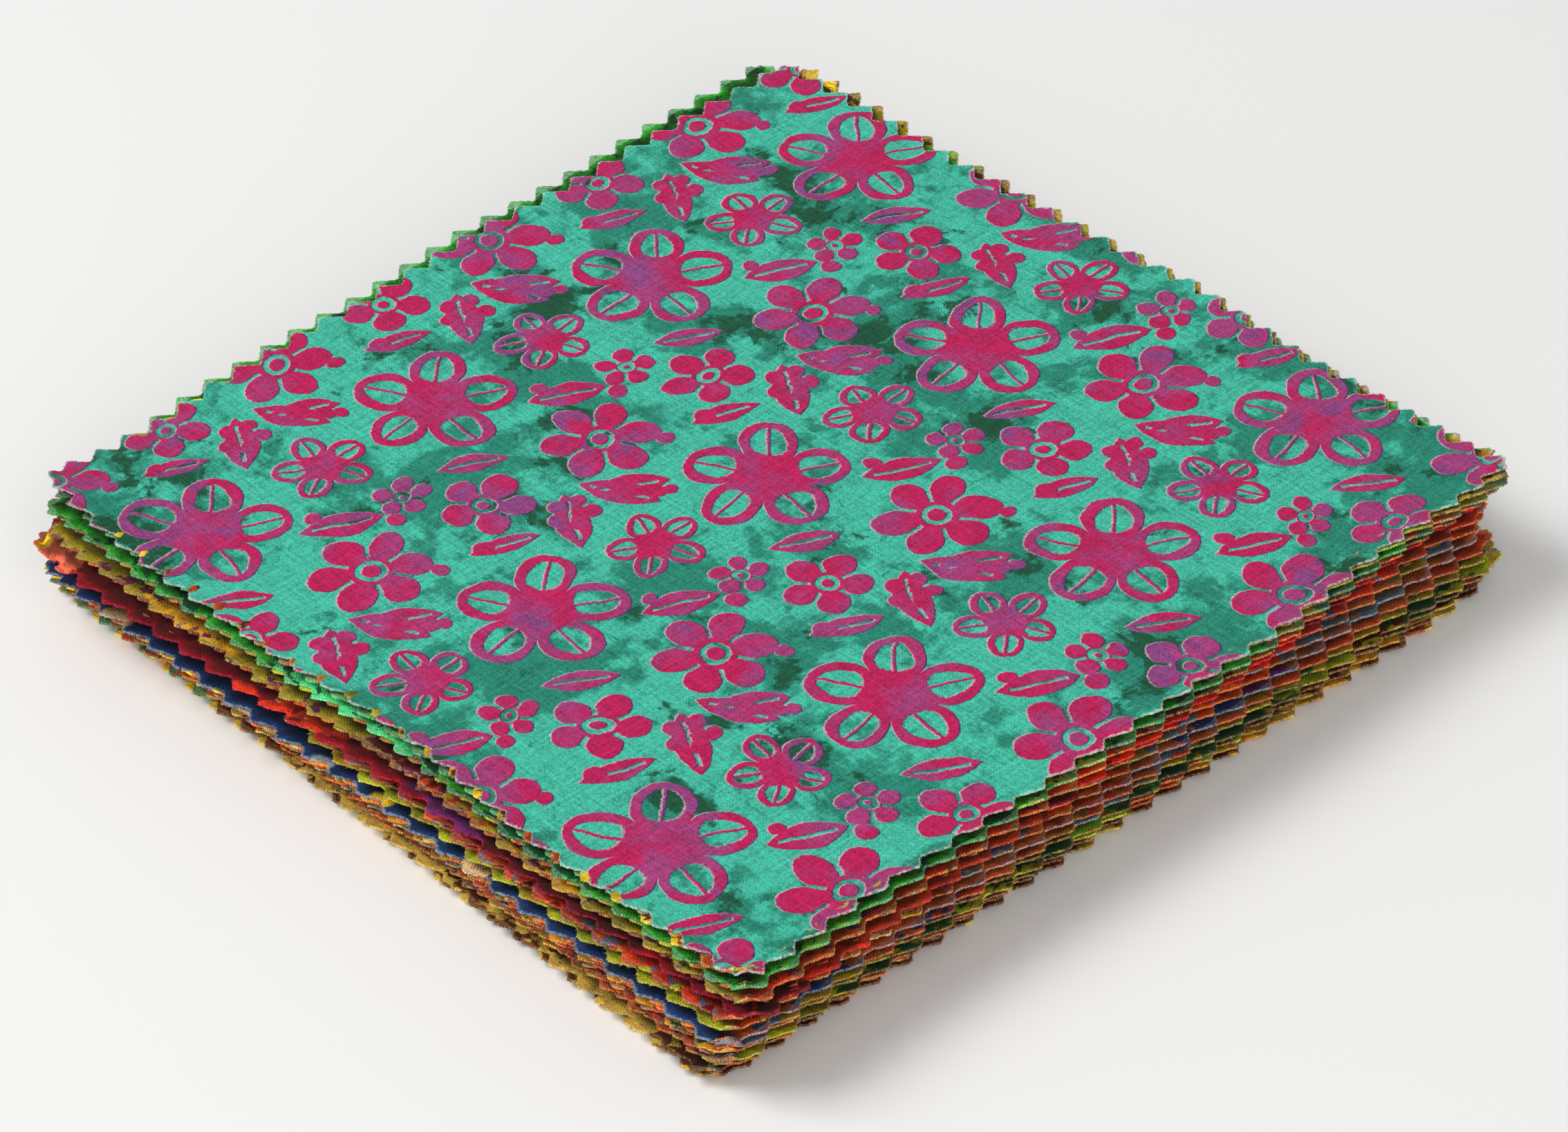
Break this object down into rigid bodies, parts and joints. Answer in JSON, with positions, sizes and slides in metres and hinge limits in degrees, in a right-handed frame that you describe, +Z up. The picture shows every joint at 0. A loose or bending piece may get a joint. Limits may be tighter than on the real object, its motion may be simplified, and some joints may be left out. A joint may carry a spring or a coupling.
{
  "type": "stack of fabric squares",
  "caption": "Stack of pinked cotton quilting squares lying flat, each with a zigzag cut edge, loosely squared up with slightly turned layers and lifted corners.",
  "frame": {"origin": "middle of the stack's outline, on the surface it lies on", "axes": "+Z up through the pile; X and Y along the sides of the top square"},
  "size_m": [0.1318, 0.1322, 0.0186],
  "materials": {
    "mustard_cotton": "matte printed cotton",
    "slate_cotton": "matte printed cotton",
    "maroon_cotton": "matte printed cotton",
    "lime_cotton": "matte printed cotton",
    "rust_cotton": "matte printed cotton",
    "navy_cotton": "matte printed cotton",
    "fern_cotton": "matte printed cotton",
    "orange_cotton": "matte printed cotton",
    "crimson_cotton": "matte printed cotton",
    "olive_cotton": "matte printed cotton",
    "green_cotton": "matte printed cotton",
    "teal_cotton": null
  },
  "bodies": {
    "root": {"leaf_01_mustard": "mustard_cotton", "leaf_02_slate": "slate_cotton", "leaf_03_maroon": "maroon_cotton", "leaf_04_lime": "lime_cotton", "leaf_05_rust": "rust_cotton", "leaf_06_navy": "navy_cotton", "leaf_07_fern": "fern_cotton", "leaf_08_orange": "orange_cotton", "leaf_09_crimson": "crimson_cotton", "leaf_10_olive": "olive_cotton", "leaf_11_green": "green_cotton", "leaf_12_teal": "teal_cotton"}
  },
  "joints": []
}
